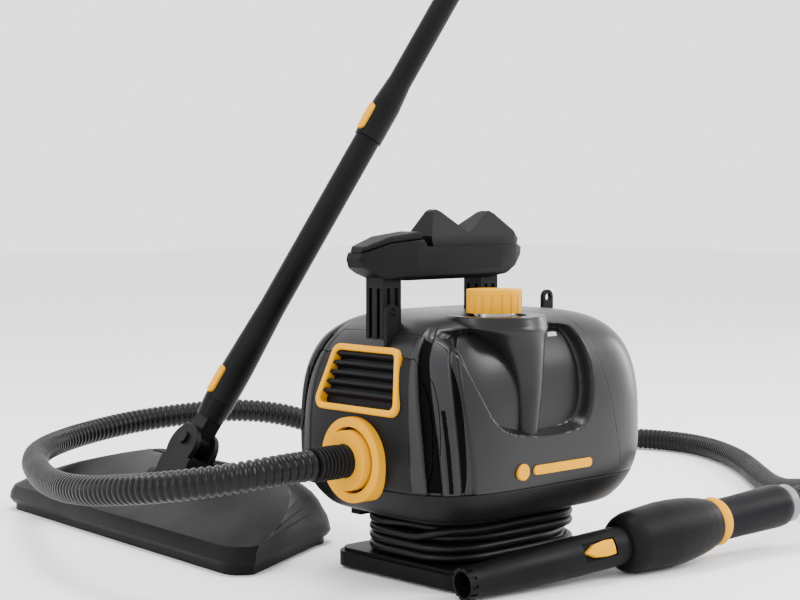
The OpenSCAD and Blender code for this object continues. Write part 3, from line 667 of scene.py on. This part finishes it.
def at_vent(p):
    q = VENT_TURN.inverted() @ (p - VENT_AT)
    in_width = abs(q.y) < VENT_HALF_W - q.x * VENT_TAPER
    return abs(q.x) < VENT_HALF_H and in_width and abs(q.z) < 20


def paint_flute_sheen_and_shade(obj):
    """Rougher ribs painted lighter as a painted sheen, and grooves painted darker as painted shade,
    down the front corners.
    """
    obj.data.materials.append(MATERIALS["flute"])
    obj.data.materials.append(MATERIALS["groove"])
    zones = [flute_sheen_shade_zone(*(p.center / MM)) for p in obj.data.polygons]
    obj.data.polygons.foreach_set("material_index", zones)


def make_casing():
    """Front cover, fluted band, the two side shells and the rear cover, cut from one skin."""
    grid = casing_grid()
    front = cut_piece("front_cover_shell", grid, [
        (shifted(FRONT_AT, FRONT_NORMAL, -GAP), back(FRONT_NORMAL)),
    ])
    drop_faces(front, at_vent)
    stand_for(front, "front_cover", "front")
    paint_flute_sheen_and_shade(front)
    band = cut_piece("flute_band_shell", grid, [
        (shifted(FRONT_AT, FRONT_NORMAL, GAP), tuple(FRONT_NORMAL)),
        (shifted(BAND_AT, BAND_NORMAL, -GAP), back(BAND_NORMAL)),
    ])
    stand_for(band, "flute_band", "shell")
    paint_flute_sheen_and_shade(band)
    middle = [
        (shifted(BAND_AT, BAND_NORMAL, GAP), tuple(BAND_NORMAL)),
        (shifted(REAR_AT, REAR_NORMAL, -GAP), back(REAR_NORMAL)),
    ]
    side = cut_piece("filler_side_panel", grid, middle + [((0, -GAP, 0), (0, -1, 0))])
    drop_faces(side, at_neck)
    stand_for(side, "filler_side_shell", "shell")
    far = cut_piece("back_side_panel", grid, middle + [((0, GAP, 0), (0, 1, 0))])
    stand_for(far, "back_side_shell", "shell")
    rear = cut_piece("rear_cover_shell", grid, [
        (shifted(REAR_AT, REAR_NORMAL, GAP), REAR_NORMAL),
    ])
    stand_for(rear, "rear_cover", "shell")


def make_pan():
    """Lower pan: skin from the floor of the casing up to the seam, with a rolled bottom edge."""
    plan = round_plan(320)
    roll = 3.2
    rows = [(PAN_Z, 8.0), (PAN_Z, 4.0), (PAN_Z + 0.5, 1.9), (PAN_Z + 1.6, 0.7), (PAN_Z + roll, 0.0)]
    rows += [(PAN_Z + roll + 1.6 * i, 0.0) for i in range(1, 15)]
    rows += [(86.6, 0.0), (87.2, 0.3), (87.5, 1.2), (87.5, 4.0)]
    verts = []
    n = len(plan)
    for z, inset in rows:
        g = girth(z)
        for k, p in enumerate(plan):
            tangent = (plan[(k + 1) % n] - plan[k - 1]).normalized()
            x, y = p.x * g - tangent.y * inset, p.y * g + tangent.x * inset
            verts.append(Vector((x, y, z)) * MM)
    faces = ring_faces(len(rows), n)
    faces.append(tuple(reversed(range(n))))
    top = (len(rows) - 1) * n
    faces.append(tuple(top + k for k in range(n)))
    stand_for(new_object("lower_pan_shell", verts, faces), "lower_pan", "front")


# Rings of the funnel: middle x, y, z and radius
FUNNEL = [
    (-31, -95, 128, 9), (-31, -94, 132, 11), (-29, -92.5, 150, 12.5), (-27, -90, 172, 15),
    (-28, -87, 190, 19), (-30, -83, 203, 24), (-33, -77, 213, 31), (-36, -70, 221, 40),
    (-36, -66, 225, 42.6), (-36, -64, 230, 43), (-36, -64, 232, 42.4), (-36, -64, 232.6, 41),
    (-36, -62, 232.4, 30), (-36, -62, 230, 28),
]


def make_funnel():
    """Funnel down the pocket: a smooth skin through the rings, closed below."""
    keys = [Vector((x, y, z, r)) for x, y, z, r in FUNNEL]
    rows = []
    for i in range(len(keys) - 1):
        a, b = keys[max(i - 1, 0)], keys[i]
        c, d = keys[i + 1], keys[min(i + 2, len(keys) - 1)]
        for k in range(6):
            rows.append(curve_point(a, b, c, d, k / 6))
    rows.append(keys[-1])
    n = 64
    verts = []
    for x, y, z, r in rows:
        for k in range(n):
            t = 2 * math.pi * k / n
            verts.append(Vector((x + r * math.cos(t), y + r * math.sin(t), z)) * MM)
    faces = ring_faces(len(rows), n)
    faces.append(tuple(reversed(range(n))))
    stand_for(new_object("filler_funnel_moulding", verts, faces), "filler_funnel", "shell")


make_casing()
make_pan()
make_funnel()
for node_name, width in REFINED.items():
    refine(node_name, width)
smooth_copy("head_cover", 33)
smooth_copy("gun_nozzle", 40)
smooth_copy("gun_body_left", 40)
smooth_copy("gun_body_right", 40)
smooth_copy("roll_pin", 30, "dark")
hose = make_hose()
dress(hose, "hose")
plug = refine("mains_plug", 1.0)
cord = make_mains_cord()
dress(cord, "cord")


# ---------------------------------------------------------------- stage

FLOOR_TONE = (0.90, 0.90, 0.90)
WORLD_STRENGTH = 2.2


def make_stage():
    floor = bpy.data.meshes.new("floor")
    floor.from_pydata([(-6, -6, 0), (8, -6, 0), (8, 8, 0), (-6, 8, 0)], [], [(0, 1, 2, 3)])
    obj = bpy.data.objects.new("floor", floor)
    bpy.context.collection.objects.link(obj)
    mat = bpy.data.materials.new("floor_white")
    mat.use_nodes = True
    shader = mat.node_tree.nodes["Principled BSDF"]
    shader.inputs["Base Color"].default_value = (*FLOOR_TONE, 1)
    shader.inputs["Roughness"].default_value = 0.9
    floor.materials.append(mat)
    world = bpy.data.worlds.new("studio")
    world.use_nodes = True
    world.node_tree.nodes["Background"].inputs["Color"].default_value = (1, 1, 1, 1)
    world.node_tree.nodes["Background"].inputs["Strength"].default_value = WORLD_STRENGTH
    bpy.context.scene.world = world


def area_light(name, place, aim, size, power, long=None):
    data = bpy.data.lights.new(name, "AREA")
    data.energy = power
    data.size = size
    if long:
        data.shape = "RECTANGLE"
        data.size_y = long
    obj = bpy.data.objects.new(name, data)
    obj.location = place
    obj.rotation_euler = (Vector(aim) - Vector(place)).to_track_quat("-Z", "Y").to_euler()
    bpy.context.collection.objects.link(obj)


make_stage()
area_light("key", (1.3, -1.5, 1.5), (0, 0, 0.15), 0.4, 45, 1.2)
area_light("left", (-2.0, 0.4, 0.9), (-0.1, 0.1, 0.15), 0.3, 18, 1.4)
area_light("top", (0, 0.3, 2.2), (0, 0, 0.1), 0.8, 40)
area_light("rim", (3.0, -0.35, 0.68), (0.1, -0.05, 0.15), 0.21, 32, 1.3)
